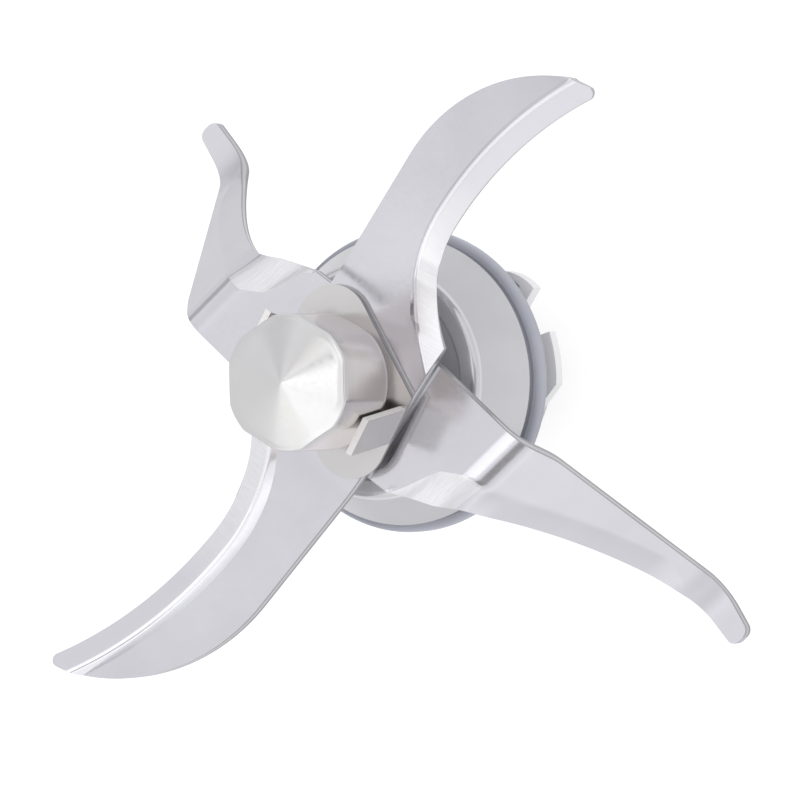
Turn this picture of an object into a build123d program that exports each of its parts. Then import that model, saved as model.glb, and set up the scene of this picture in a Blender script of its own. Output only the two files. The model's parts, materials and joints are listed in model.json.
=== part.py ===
from build123d import *
from math import cos, radians, sin, sqrt, tan
import os

# Blade assembly of a blender jug. Millimetres, +Z up along the shaft.
# The origin is on the shaft's axis, in the face of the gasket that rests on the jug's floor.

# Gasket, and the spigot that goes through the jug's floor
gasket_r = 22.5
gasket_height = 2.6
gasket_edge_r = 0.7
gasket_bore_clearance = 0.1
spigot_r = 19.9
spigot_depth = 2.2

# Bearing housing
foot_r = 21.4
foot_height = 1.3
shoulder_r = 17.3
shoulder_fillet = 1.6
housing_top = 12.8
dish_r = 14.2
dish_depth = 0.5
roof_thickness = 1.6
roof_opening_r = 6.2
barrel_r = 13.6
barrel_lip = 1.4

# Bayonet ring under the floor
bayonet_inner_r = 16.6
bayonet_height = 2.4
lug_r = 22.5
lug_height = 2.0
lug_taper_start = -14.0
lug_taper_end = -3.0
lug_end = 17.0
stop_r = 23.3
stop_start = 30.0
stop_corner = 34.0
ramp_middle_r = 22.3
ramp_middle = 43.0
ramp_end = 52.0
pocket_wall = 1.1
pocket_start = 38.0
pocket_end = 47.0
pocket_depth = 1.6

# Ball bearings, both alike
bearing_outer_r = 11.0
bearing_width = 7.0
bearing_spacing = 8.0
ring_share = 0.265
ball_share = 0.28
ball_count = 7
ball_clearance = 0.12
cage_thickness = 1.1
cage_clearance = 0.25
shield_thickness = 0.5
shield_recess = 0.15
shield_clearance = 0.1

# Shaft seal above the upper bearing
seal_step = 1.6
seal_height = 4.5
seal_case_thickness = 0.6
seal_case_lip_r = 7.4
seal_running_clearance = 0.05
seal_web = 1.0
seal_lip_height = 2.4
seal_lip_thickness = 0.9
garter_r = 0.45
garter_clearance = 0.02

# Slinger sleeve between the upper bearing and the blades
sleeve_r = 5.0
slinger_r = 9.0
slinger_gap = 0.6
slinger_rim = 1.4
slinger_neck_r = 7.8

# Circlip in the barrel
circlip_thickness = 1.1
circlip_reach = 1.7
circlip_groove_depth = 0.6
circlip_clearance = 0.05
circlip_gap = 40.0
circlip_ear_r = 1.5
circlip_hole_r = 0.6

# Shaft and drive coupling
shaft_r = 4.0
shaft_flat = 3.1
shaft_edge = 0.6
thread_length = 12.5
collar_r = 5.6
collar_height = 2.0
coupling_length = 12.0
coupling_hub_r = 7.2
coupling_hub_height = 4.6
coupling_across_flats = 11.6
coupling_edge = 0.9
coupling_floor = 2.0
coupling_pin_r = 1.25

# Blades, of one sheet thickness
blade_gap = 4.8
blade_thickness = 1.8
bevel_edge = 0.35
bevel_width = 4.2
strip_width = 3.5
strip_shoulder = 1.0
strip_rise = 1.7
strip_edge_rise = 1.2
key_clearance = 0.05

upper_blade_angle = 55.0
upper_reach = 59.4
upper_fold = 13.6
upper_fold_r = 14.0
upper_rise_angle = 8.8
upper_hub_corner = 12.8
upper_hub_half_width = 10.8
upper_root = 10.0
upper_root_back = 9.9
upper_straight = 34.2
upper_straight_back = 7.7
upper_tip_back = 10.2
upper_tip_front = 15.2
upper_tip_slant = 0.8
upper_tip_corner = 1.2
upper_edge_middle = 44.0
upper_edge_middle_front = 7.7
upper_hollow = 29.7
upper_hollow_front = 4.5

lower_blade_angle = -50.2
lower_reach = 58.6
lower_fold = 24.8
lower_fold_r = 5.0
lower_drop_angle = 54.8
lower_tip_fold = 51.0
lower_tip_fold_r = 3.0
lower_root = 7.9
lower_root_back = 12.4
lower_shoulder = 29.0
lower_shoulder_back = 15.4
lower_shoulder_r = 6.0
lower_tip_back = 10.2
lower_tip_front = 6.8
lower_tip_r = 1.2
lower_edge_bend = 50.0
lower_edge_bend_front = 7.0
lower_edge_fold = 25.5
lower_edge_fold_front = -0.2
lower_edge_root = 16.0
lower_edge_root_front = -6.2

# Lock plate
lock_thickness = 1.0
lock_half_width = 8.8
lock_side_angle = 29.0
lock_end_r = 5.9
lock_corner_r = 1.5
tab_angle = -31.0
tab_width = 5.8
tab_offset = -0.9
tab_height = 11.0
tab_skew = -2.0
tab_clearance = 0.35
tab_bend_r = 0.8

# Cap nut
nut_r = 9.95
nut_flat = 9.5
nut_height = 16.5
nut_cone_height = 1.9
nut_foot_r = 7.6
nut_foot_chamfer = 4.2
nut_thread_clearance = 0.05
nut_thread_room = 1.0

# Levels and radii worked out from the sizes above
foot_top = gasket_height + foot_height
seal_top = housing_top - dish_depth - roof_thickness
upper_bearing_top = seal_top - seal_height
upper_bearing_base = upper_bearing_top - bearing_width
lower_bearing_top = upper_bearing_base - bearing_spacing
lower_bearing_base = lower_bearing_top - bearing_width
circlip_base = lower_bearing_base - circlip_thickness
barrel_base = circlip_base - barrel_lip
bayonet_top = -spigot_depth
bayonet_base = bayonet_top - bayonet_height
slinger_base = housing_top + slinger_gap
blade_seat = housing_top + blade_gap
lower_blade_top = blade_seat + blade_thickness
upper_blade_top = lower_blade_top + blade_thickness
nut_base = upper_blade_top + lock_thickness
nut_top = nut_base + nut_height
shaft_top = nut_base + thread_length
collar_base = lower_bearing_base - collar_height
coupling_base = collar_base - coupling_length
shaft_base = coupling_base + coupling_floor
bearing_wall = bearing_outer_r - shaft_r
inner_land_r = shaft_r + ring_share * bearing_wall
outer_land_r = bearing_outer_r - ring_share * bearing_wall
ball_r = ball_share * bearing_wall
pitch_r = (inner_land_r + outer_land_r) / 2
groove_r = ball_r + ball_clearance
seal_r = bearing_outer_r - seal_step
circlip_inner_r = bearing_outer_r - circlip_reach
tab_inner = nut_r + tab_clearance
tab_outer = tab_inner + lock_thickness

os.makedirs("parts", exist_ok=True)


def save(builder, label):
    """Labels a finished piece and writes it to its own file."""
    builder.part.label = label
    export_step(builder.part, f"parts/{label}.step")


def section(*corners):
    """The section of a turned piece, from corners given as radius and height."""
    with BuildSketch(Plane.XZ) as face:
        with BuildLine():
            Polyline(*corners, close=True)
        make_face()
    return face.sketch


def turned(*corners):
    """A turned piece."""
    with BuildPart() as piece:
        add(section(*corners))
        revolve(axis=Axis.Z)
    return piece.part


def polar(radius, angle):
    """A point in plan from its radius and its angle in degrees."""
    return Vector(radius * cos(radians(angle)), radius * sin(radians(angle)))


def sector(inner_r, outer_r, start, span):
    """A piece of a flat ring."""
    with BuildSketch() as face:
        with BuildLine():
            outer = CenterArc((0, 0), outer_r, start, span)
            inner = CenterArc((0, 0), inner_r, start, span)
            Line(outer @ 0, inner @ 0)
            Line(outer @ 1, inner @ 1)
        make_face()
    return face.sketch


def key_shape(clearance=0.0):
    """The shaft's section where it is keyed: a circle with two flats."""
    with BuildSketch() as face:
        Circle(shaft_r + clearance)
        Rectangle(3 * shaft_r, 2 * (shaft_flat + clearance), mode=Mode.INTERSECT)
    return face.sketch


def cross_pin(reach):
    """The pin across the shaft and the coupling, reaching equally far to both sides."""
    with BuildPart() as pin:
        with BuildSketch(Plane.YZ):
            with Locations((0, collar_base - coupling_hub_height / 2)):
                Circle(coupling_pin_r)
        extrude(amount=reach, both=True)
    return pin.part


# Sealing gasket
with BuildPart() as gasket:
    gasket_bore = spigot_r + gasket_bore_clearance
    with BuildSketch(Plane.XZ):
        with Locations(((gasket_bore + gasket_r) / 2, gasket_height / 2)):
            RectangleRounded(gasket_r - gasket_bore, gasket_height, gasket_edge_r)
    revolve(axis=Axis.Z)
save(gasket, "gasket")

# Bearing housing: a cone above the gasket, a spigot through the floor and a barrel below
with BuildPart() as bearing_housing:
    add(section(
        (roof_opening_r, housing_top - dish_depth),
        (dish_r, housing_top - dish_depth),
        (dish_r + dish_depth, housing_top),
        (shoulder_r, housing_top),
        (foot_r, foot_top),
        (foot_r, gasket_height),
        (spigot_r, gasket_height),
        (spigot_r, bayonet_top),
        (bayonet_inner_r, bayonet_top),
        (bayonet_inner_r, bayonet_base),
        (barrel_r, bayonet_base),
        (barrel_r, barrel_base),
        (bearing_outer_r, barrel_base),
        (bearing_outer_r, upper_bearing_top),
        (seal_r, upper_bearing_top),
        (seal_r, seal_top),
        (roof_opening_r, seal_top),
    ))
    revolve(axis=Axis.Z)
    rims = bearing_housing.edges().filter_by(GeomType.CIRCLE).group_by(Axis.Z)[-1]
    fillet(rims.sort_by(SortBy.RADIUS)[-1], radius=shoulder_fillet)
    with BuildSketch(Plane.XY.offset(circlip_base)):
        Circle(bearing_outer_r + circlip_groove_depth)
    extrude(amount=circlip_thickness, mode=Mode.SUBTRACT)
save(bearing_housing, "bearing_housing")

# Bayonet ring: two lugs that turn in under the floor, and two stops with a hollow ramp before them
with BuildSketch() as lug_plan:
    with BuildLine():
        rim = CenterArc((0, 0), lug_r, lug_taper_end, lug_end - lug_taper_end)
        back = CenterArc((0, 0), bayonet_inner_r, lug_taper_start, lug_end - lug_taper_start)
        Polyline(rim @ 0, polar(spigot_r, lug_taper_start), back @ 0)
        Line(rim @ 1, back @ 1)
    make_face()

with BuildSketch() as stop_plan:
    with BuildLine():
        ramp_foot = polar(spigot_r, ramp_end)
        ramp = ThreePointArc(ramp_foot, polar(ramp_middle_r, ramp_middle), polar(stop_r, stop_corner))
        back = CenterArc((0, 0), bayonet_inner_r, stop_start, ramp_end - stop_start)
        Polyline(ramp @ 1, polar(spigot_r, stop_start), back @ 0)
        Line(ramp @ 0, back @ 1)
    make_face()

with BuildSketch() as pocket_plan:
    with BuildLine():
        wall_foot = polar(spigot_r, pocket_end)
        wall_middle = polar(ramp_middle_r - pocket_wall, ramp_middle)
        wall = ThreePointArc(wall_foot, wall_middle, polar(stop_r - 1.5 * pocket_wall, pocket_start))
        back = CenterArc((0, 0), spigot_r, pocket_start, pocket_end - pocket_start)
        Line(wall @ 1, back @ 0)
    make_face()

with BuildPart() as bayonet_ring:
    with BuildSketch(Plane.XY.offset(bayonet_base)):
        Circle(spigot_r)
        Circle(bayonet_inner_r, mode=Mode.SUBTRACT)
    extrude(amount=bayonet_height)
    for turn in (0, 180):
        with BuildSketch(Plane.XY.offset(bayonet_base)):
            add(lug_plan.sketch, rotation=turn)
        extrude(amount=lug_height)
        with BuildSketch(Plane.XY.offset(bayonet_base)):
            add(stop_plan.sketch, rotation=turn)
        extrude(amount=bayonet_height)
        with BuildSketch(Plane.XY.offset(bayonet_top)):
            add(pocket_plan.sketch, rotation=turn)
        extrude(amount=-pocket_depth, mode=Mode.SUBTRACT)
save(bayonet_ring, "bayonet_ring")

# Two ball bearings
for name, base in (("upper", upper_bearing_base), ("lower", lower_bearing_base)):
    top = base + bearing_width
    middle = base + bearing_width / 2
    rings = (
        ("outer_ring", outer_land_r, bearing_outer_r),
        ("inner_ring", shaft_r, inner_land_r),
    )
    for ring_name, inner_r, outer_r in rings:
        with BuildPart() as ring:
            with BuildSketch(Plane.XZ):
                with Locations(((inner_r + outer_r) / 2, middle)):
                    Rectangle(outer_r - inner_r, bearing_width)
                with Locations((pitch_r, middle)):
                    Circle(groove_r, mode=Mode.SUBTRACT)
            revolve(axis=Axis.Z)
        save(ring, f"{name}_bearing_{ring_name}")

    with BuildPart() as balls:
        with Locations((0, 0, middle)):
            with PolarLocations(pitch_r, ball_count):
                Sphere(ball_r)
    save(balls, f"{name}_bearing_balls")

    with BuildPart() as cage:
        cage_height = bearing_width - 2 * (shield_recess + shield_thickness + cage_clearance)
        with BuildSketch(Plane.XY.offset(middle - cage_height / 2)):
            Circle(pitch_r + cage_thickness / 2)
            Circle(pitch_r - cage_thickness / 2, mode=Mode.SUBTRACT)
        extrude(amount=cage_height)
        with Locations((0, 0, middle)):
            with PolarLocations(pitch_r, ball_count):
                Cylinder(groove_r, 3 * cage_thickness, rotation=(0, 90, 0), mode=Mode.SUBTRACT)
    save(cage, f"{name}_bearing_cage")

    with BuildPart() as shields:
        for level in (base + shield_recess, top - shield_recess - shield_thickness):
            with BuildSketch(Plane.XY.offset(level)):
                Circle(outer_land_r)
                Circle(inner_land_r + shield_clearance, mode=Mode.SUBTRACT)
            extrude(amount=shield_thickness)
    save(shields, f"{name}_bearing_shields")

# Distance pieces between the bearings
with BuildPart() as inner_distance_sleeve:
    with BuildSketch(Plane.XY.offset(lower_bearing_top)):
        Circle(inner_land_r)
        Circle(shaft_r, mode=Mode.SUBTRACT)
    extrude(amount=bearing_spacing)
save(inner_distance_sleeve, "inner_distance_sleeve")

with BuildPart() as outer_distance_ring:
    with BuildSketch(Plane.XY.offset(lower_bearing_top)):
        Circle(bearing_outer_r)
        Circle(outer_land_r, mode=Mode.SUBTRACT)
    extrude(amount=bearing_spacing)
save(outer_distance_ring, "outer_distance_ring")

# Shaft seal: a steel case, a rubber lip that runs on the sleeve and a spring round the lip
case_wall_r = seal_r - seal_case_thickness
case_roof = seal_top - seal_case_thickness
lip_r = sleeve_r + seal_running_clearance
lip_outer_r = lip_r + seal_lip_thickness
lip_base = case_roof - seal_web - seal_lip_height

with BuildPart() as seal_case:
    add(turned(
        (seal_case_lip_r, seal_top),
        (seal_r, seal_top),
        (seal_r, upper_bearing_top),
        (case_wall_r, upper_bearing_top),
        (case_wall_r, case_roof),
        (seal_case_lip_r, case_roof),
    ))
save(seal_case, "seal_case")

with BuildPart() as shaft_seal:
    add(turned(
        (lip_r, case_roof),
        (case_wall_r, case_roof),
        (case_wall_r, case_roof - seal_web),
        (lip_outer_r, case_roof - seal_web),
        (lip_outer_r, lip_base),
        (lip_r, lip_base),
    ))
save(shaft_seal, "shaft_seal")

with BuildPart() as seal_spring:
    with BuildSketch(Plane.XZ):
        with Locations((lip_outer_r + garter_r + garter_clearance, lip_base + 2 * garter_r)):
            Circle(garter_r)
    revolve(axis=Axis.Z)
save(seal_spring, "seal_spring")

# Circlip under the lower bearing
with BuildPart() as circlip:
    circlip_r = bearing_outer_r + circlip_groove_depth - circlip_clearance
    ear_ring_r = circlip_inner_r - circlip_ear_r / 2
    with BuildSketch(Plane.XY.offset(circlip_base + circlip_clearance)):
        add(sector(circlip_inner_r, circlip_r, circlip_gap / 2, 360 - circlip_gap))
        for side in (-1, 1):
            with PolarLocations(ear_ring_r, 1, start_angle=side * circlip_gap / 2):
                Circle(circlip_ear_r)
                Circle(circlip_hole_r, mode=Mode.SUBTRACT)
    extrude(amount=circlip_thickness - circlip_clearance)
save(circlip, "circlip")

# Drive shaft: a collar under the lower bearing, and two flats where the blades are keyed on
with BuildPart() as drive_shaft:
    add(turned(
        (0, shaft_top),
        (shaft_r - shaft_edge, shaft_top),
        (shaft_r, shaft_top - shaft_edge),
        (shaft_r, lower_bearing_base),
        (collar_r, lower_bearing_base),
        (collar_r, collar_base),
        (shaft_r, collar_base),
        (shaft_r, shaft_base),
        (0, shaft_base),
    ))
    with BuildSketch(Plane.XY.offset(blade_seat)):
        Circle(2 * shaft_r)
        add(key_shape(), mode=Mode.SUBTRACT)
    extrude(amount=shaft_top - blade_seat, mode=Mode.SUBTRACT)
    add(cross_pin(coupling_hub_r), mode=Mode.SUBTRACT)
save(drive_shaft, "drive_shaft")

# Slinger sleeve: the seal runs on it, and it throws water off above the housing
with BuildPart() as slinger_sleeve:
    add(turned(
        (shaft_r, upper_bearing_top),
        (sleeve_r, upper_bearing_top),
        (sleeve_r, slinger_base),
        (slinger_r, slinger_base),
        (slinger_r, slinger_base + slinger_rim),
        (slinger_neck_r, slinger_base + slinger_rim),
        (slinger_neck_r, blade_seat),
        (shaft_r, blade_seat),
    ))
save(slinger_sleeve, "slinger_sleeve")

# Drive coupling: a round hub with a hexagonal dog below it
with BuildPart() as drive_coupling:
    with BuildSketch(Plane.XY.offset(collar_base)):
        Circle(coupling_hub_r)
    extrude(amount=-coupling_hub_height)
    with BuildSketch(Plane.XY.offset(coupling_base)):
        RegularPolygon(coupling_across_flats / 2, 6, major_radius=False)
    extrude(amount=coupling_length - coupling_hub_height)
    chamfer(drive_coupling.faces().sort_by(Axis.Z)[0].edges(), length=coupling_edge)
    with BuildSketch(Plane.XY.offset(collar_base)):
        Circle(shaft_r)
    extrude(amount=shaft_base - collar_base, mode=Mode.SUBTRACT)
    add(cross_pin(coupling_hub_r), mode=Mode.SUBTRACT)
save(drive_coupling, "drive_coupling")

with BuildPart() as coupling_pin:
    add(cross_pin(sqrt(coupling_hub_r ** 2 - coupling_pin_r ** 2)))
save(coupling_pin, "coupling_pin")


def fold_offset(x, fold, angle, radius):
    """How far a folded face has left its level at x, where it turns by an angle on a radius."""
    reach = radius * tan(radians(angle) / 2)
    start = fold - reach
    if x <= start:
        return 0.0
    if x >= fold + reach * cos(radians(angle)):
        return (x - fold) * tan(radians(angle))
    return radius - sqrt(radius ** 2 - (x - start) ** 2)


def upper_face(x):
    """Height of the upper blade's top face."""
    return upper_blade_top + fold_offset(x, upper_fold, upper_rise_angle, upper_fold_r)


lower_tip_level = lower_blade_top - (lower_tip_fold - lower_fold) * tan(radians(lower_drop_angle))


def lower_face(x):
    """Height of the lower blade's top face, down one fold and level again after the other."""
    if x < (lower_fold + lower_tip_fold) / 2:
        return lower_blade_top - fold_offset(x, lower_fold, lower_drop_angle, lower_fold_r)
    mirrored = 2 * lower_tip_fold - x
    return lower_tip_level + fold_offset(mirrored, lower_tip_fold, lower_drop_angle, lower_tip_fold_r)


def bent_strip(corners, radii, half_width):
    """A wide strip of blade sheet, bent along the given line of its top face."""
    with BuildPart() as strip:
        with BuildSketch(Plane.XZ):
            with BuildLine():
                FilletPolyline(*corners, radius=radii)
                offset(amount=blade_thickness, side=Side.RIGHT)
            make_face()
        extrude(amount=half_width, both=True)
    return strip.part


def ground_away(stations, face):
    """What grinding takes off along a leading edge.

    Each station is a point of the edge in plan, the way out along it and a share of the bevel.
    """
    margin = 1.0
    with BuildPart() as cutter:
        for point, out, share in stations:
            inward = Vector(-out.Y, out.X, 0)
            level = face(point.X)
            inner = point + inward * bevel_width * share
            rise = face(inner.X) - level
            slope = abs(face(point.X + margin) - level) / margin
            depth = (blade_thickness - bevel_edge) * share * sqrt(1 + slope ** 2)
            fall = (rise + depth) / (bevel_width * share)
            high = max(rise + margin * fall, 0) + blade_thickness
            with BuildSketch(Plane((point.X, point.Y, level), x_dir=inward, z_dir=out)):
                with BuildLine():
                    Polyline(
                        (-margin, -depth - margin * fall),
                        (bevel_width * share + margin, rise + margin * fall),
                        (bevel_width * share + margin, high),
                        (-margin, high),
                        close=True,
                    )
                make_face()
        loft(ruled=True)
    return cutter.part


def along_strip(stations, face, corners):
    """A ruled solid along the raised strip of a leading edge.

    The corners of its section come from a share: how far in from the edge, and how far above the sheet.
    """
    with BuildPart() as strip:
        for point, out, share in stations:
            inward = Vector(-out.Y, out.X, 0)
            level = face(point.X)
            lean = (face((point + inward * strip_width).X) - level) / strip_width
            outline = [(reach, height + lean * reach) for reach, height in corners(share)]
            with BuildSketch(Plane((point.X, point.Y, level), x_dir=inward, z_dir=out)):
                with BuildLine():
                    Polyline(*outline, close=True)
                make_face()
        loft(ruled=True)
    return strip.part


def strip_top(share):
    """Section of what stands above the sheet: a strip that falls to the edge, and a shoulder behind it."""
    fall = (strip_rise - strip_edge_rise) / strip_width
    back = strip_width + 1.5 * strip_shoulder
    return (
        (-strip_shoulder, share * (strip_edge_rise - fall * strip_shoulder)),
        (strip_width, share * strip_rise),
        (back, -share * strip_rise / 2),
        (back, -blade_thickness / 2),
        (-strip_shoulder, -blade_thickness / 2),
    )


def strip_under(share):
    """Section of what comes off below the strip: it keeps the sheet's thickness and ends in a sharp edge."""
    edge_height = share * (strip_edge_rise - bevel_edge + blade_thickness)
    climb = (edge_height - share * strip_rise) / strip_width
    back = strip_width + 1.5 * strip_shoulder
    low = -2 * blade_thickness
    return (
        (-strip_shoulder, edge_height + climb * strip_shoulder - blade_thickness),
        (strip_width, share * strip_rise - blade_thickness),
        (back, -share * strip_rise / 2 - blade_thickness),
        (back, low),
        (-strip_shoulder, low),
    )


def along_edges(edges, shares):
    """Stations from the tip inwards: each edge is given with the places on it and their bevel shares."""
    stations = []
    for edge, places in zip(edges, shares):
        for place, share in places:
            stations.append((edge @ place, (edge % place) * -1, share))
    return stations


# Upper blade: two curved wings, bent up a little, with a raised strip along their hollow leading edges
with BuildLine() as upper_wing:
    root = Vector(upper_root, upper_root_back)
    straight_end = Vector(upper_straight, upper_straight_back)
    tip_back = Vector(upper_reach - upper_tip_slant, -upper_tip_back)
    tip_corner = Vector(upper_reach, upper_tip_corner - upper_tip_front)
    tip_front = Vector(upper_reach - upper_tip_slant, -upper_tip_front)
    edge_middle = Vector(upper_edge_middle, -upper_edge_middle_front)
    hollow = Vector(upper_hollow, -upper_hollow_front)
    hub_corner = Vector(upper_hub_corner, -upper_hub_half_width)
    Line(root, straight_end)
    TangentArc(straight_end, tip_back, tangent=straight_end - root)
    Polyline(tip_back, tip_corner, tip_front)
    upper_edge_outer = ThreePointArc(tip_front, edge_middle, hollow)
    upper_edge_inner = TangentArc(hollow, hub_corner, tangent=upper_edge_outer % 1)
    Line(hub_corner, root * -1)

upper_stations = along_edges(
    (upper_edge_outer, upper_edge_inner),
    (
        ((0, 1), (0.25, 1), (0.5, 1), (0.75, 1)),
        ((0, 1), (0.2, 1), (0.4, 1), (0.6, 0.8), (0.8, 0.45), (1, 0.1)),
    ),
)
tip, tip_out, tip_share = upper_stations[0]
foot, foot_out, foot_share = upper_stations[-1]
upper_stations.insert(0, (tip + tip_out * bevel_width, tip_out, tip_share))
upper_stations.append((foot - foot_out * 2 * bevel_width, foot_out, foot_share))

with BuildPart() as upper_blank:
    far = upper_reach + 2 * blade_thickness
    far_level = upper_face(far)
    add(bent_strip(
        ((-far, far_level), (-upper_fold, upper_blade_top), (upper_fold, upper_blade_top), (far, far_level)),
        upper_fold_r,
        upper_reach / 2,
    ))
    upper_strip = along_strip(upper_stations, upper_face, strip_top)
    for turn in (0, 180):
        add(upper_strip, rotation=(0, 0, turn))
    with BuildSketch():
        with BuildLine():
            add(upper_wing.line)
            add(upper_wing.line, rotation=180)
        make_face()
    extrude(amount=far_level + strip_rise, mode=Mode.INTERSECT)
    upper_relief = along_strip(upper_stations, upper_face, strip_under)
    for turn in (0, 180):
        add(upper_relief, rotation=(0, 0, turn), mode=Mode.SUBTRACT)

with BuildPart() as upper_blade:
    add(upper_blank.part, rotation=(0, 0, upper_blade_angle))
    with BuildSketch(Plane.XY.offset(lower_blade_top)):
        add(key_shape(key_clearance))
    extrude(amount=blade_thickness, mode=Mode.SUBTRACT)
save(upper_blade, "upper_blade")

# Lower blade: two narrow wings, folded steeply down and level again at their tips
with BuildLine() as lower_wing:
    root = Vector(lower_root, lower_root_back)
    shoulder = Vector(lower_shoulder, lower_shoulder_back)
    tip_back = Vector(lower_reach, lower_tip_back)
    tip_front = Vector(lower_reach, lower_tip_front)
    edge_bend = Vector(lower_edge_bend, lower_edge_bend_front)
    edge_fold = Vector(lower_edge_fold, lower_edge_fold_front)
    edge_root = Vector(lower_edge_root, lower_edge_root_front)
    corner_radii = (lower_shoulder_r, lower_tip_r, lower_tip_r)
    FilletPolyline(root, shoulder, tip_back, tip_front, edge_bend, radius=corner_radii)
    lower_edge_outer = TangentArc(edge_bend, edge_fold, tangent=edge_bend - tip_front)
    lower_edge_inner = Line(edge_fold, edge_root)
    Line(edge_root, root * -1)

with BuildPart() as lower_blank:
    far = lower_reach + 2 * blade_thickness
    add(bent_strip(
        (
            (-far, lower_tip_level),
            (-lower_tip_fold, lower_tip_level),
            (-lower_fold, lower_blade_top),
            (lower_fold, lower_blade_top),
            (lower_tip_fold, lower_tip_level),
            (far, lower_tip_level),
        ),
        (lower_tip_fold_r, lower_fold_r, lower_fold_r, lower_tip_fold_r),
        lower_reach / 2,
    ))
    with BuildSketch(Plane.XY.offset(lower_tip_level - 2 * blade_thickness)):
        with BuildLine():
            add(lower_wing.line)
            add(lower_wing.line, rotation=180)
        make_face()
    extrude(amount=lower_blade_top - lower_tip_level + 4 * blade_thickness, mode=Mode.INTERSECT)
    lower_bevel = ground_away(along_edges(
        (lower_edge_outer, lower_edge_inner),
        (
            ((0.02, 0.3), (0.15, 1), (0.35, 1), (0.55, 1), (0.7, 1), (0.8, 1), (0.9, 1), (0.95, 1)),
            ((0, 1), (0.1, 1), (0.2, 1), (0.35, 1), (0.6, 1), (0.85, 0.6), (1, 0.06)),
        ),
    ), lower_face)
    for turn in (0, 180):
        add(lower_bevel, rotation=(0, 0, turn), mode=Mode.SUBTRACT)

with BuildPart() as lower_blade:
    add(lower_blank.part, rotation=(0, 0, lower_blade_angle))
    with BuildSketch(Plane.XY.offset(blade_seat)):
        add(key_shape(key_clearance))
    extrude(amount=blade_thickness, mode=Mode.SUBTRACT)
save(lower_blade, "lower_blade")

# Lock plate: a slanted plate with rounded ends and two tabs bent up beside the nut
with BuildPart() as lock_plate:
    with BuildSketch(Plane.XY.offset(upper_blade_top)) as plate:
        Rectangle(2 * lock_half_width, 8 * nut_r, rotation=lock_side_angle)
        Rectangle(2 * tab_outer, 8 * nut_r, rotation=tab_angle, mode=Mode.INTERSECT)
        corners = plate.vertices().sort_by_distance((0, 0, 0))
        fillet(corners[2:], radius=lock_end_r)
        fillet(corners[:2], radius=lock_corner_r)
    extrude(amount=lock_thickness)
    for turn in (0, 180):
        away = Vector(cos(radians(tab_angle + turn)), sin(radians(tab_angle + turn)), 0)
        tab_origin = away * tab_inner + Vector(0, 0, upper_blade_top)
        with BuildSketch(Plane(tab_origin, x_dir=Vector(-away.Y, away.X, 0), z_dir=away)):
            with BuildLine():
                Polyline(
                    (tab_offset - tab_width / 2, 0),
                    (tab_offset + tab_width / 2, 0),
                    (tab_offset + tab_width / 2 + tab_skew, tab_height),
                    (tab_offset - tab_width / 2 + tab_skew, tab_height),
                    close=True,
                )
            make_face()
        extrude(amount=lock_thickness)
    middle = Vertex(0, 0, upper_blade_top)
    feet = lock_plate.edges().group_by(Axis.Z)[0].filter_by(GeomType.LINE)
    fillet(feet.filter_by(lambda edge: edge.distance_to(middle) > tab_inner), radius=tab_bend_r)
    with BuildSketch(Plane.XY.offset(upper_blade_top)):
        add(key_shape(key_clearance))
    extrude(amount=lock_thickness, mode=Mode.SUBTRACT)
save(lock_plate, "lock_plate")

# Cap nut: turned, with six narrow flats, a low cone on top and a blind thread
with BuildPart() as cap_nut:
    with BuildSketch(Plane.XY.offset(nut_base)):
        Circle(nut_r)
        RegularPolygon(nut_flat, 6, major_radius=False, rotation=30, mode=Mode.INTERSECT)
    extrude(amount=nut_height + nut_cone_height)
    add(turned(
        (0, nut_base),
        (nut_foot_r, nut_base),
        (nut_r, nut_base + nut_foot_chamfer),
        (nut_r, nut_top),
        (0, nut_top + nut_cone_height),
    ), mode=Mode.INTERSECT)
    with BuildSketch(Plane.XY.offset(nut_base)):
        Circle(shaft_r + nut_thread_clearance)
    extrude(amount=thread_length + nut_thread_room, mode=Mode.SUBTRACT)
save(cap_nut, "cap_nut")
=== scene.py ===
import json
import math

import bmesh
import bpy
import numpy as np
from mathutils import Matrix, Vector


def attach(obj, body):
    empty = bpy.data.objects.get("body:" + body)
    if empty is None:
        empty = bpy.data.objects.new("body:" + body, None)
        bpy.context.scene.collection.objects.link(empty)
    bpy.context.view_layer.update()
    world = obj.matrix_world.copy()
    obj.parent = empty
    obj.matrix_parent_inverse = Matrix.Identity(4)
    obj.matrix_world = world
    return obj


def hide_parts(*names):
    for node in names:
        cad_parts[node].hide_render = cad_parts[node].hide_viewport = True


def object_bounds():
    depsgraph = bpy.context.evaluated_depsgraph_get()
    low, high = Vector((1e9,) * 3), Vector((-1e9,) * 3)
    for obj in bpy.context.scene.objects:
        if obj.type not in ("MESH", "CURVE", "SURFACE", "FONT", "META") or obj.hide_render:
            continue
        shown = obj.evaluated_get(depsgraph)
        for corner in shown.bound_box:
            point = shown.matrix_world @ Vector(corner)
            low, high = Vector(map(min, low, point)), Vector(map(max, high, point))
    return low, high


# The blender blade assembly: finishes, blades with their ground edges, cap nut, light and camera.
# The part's lengths are in millimetres here and become metres with mm. The studio's are in metres.

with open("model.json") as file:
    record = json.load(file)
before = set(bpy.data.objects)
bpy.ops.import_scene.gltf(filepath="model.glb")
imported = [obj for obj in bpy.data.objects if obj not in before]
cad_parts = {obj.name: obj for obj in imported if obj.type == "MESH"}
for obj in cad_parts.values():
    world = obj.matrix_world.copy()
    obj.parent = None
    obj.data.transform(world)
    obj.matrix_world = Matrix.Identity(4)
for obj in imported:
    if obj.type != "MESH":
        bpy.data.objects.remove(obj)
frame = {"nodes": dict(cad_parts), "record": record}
cad_low, cad_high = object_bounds()
scene = bpy.context.scene
mm = 0.001


# Finishes

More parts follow.
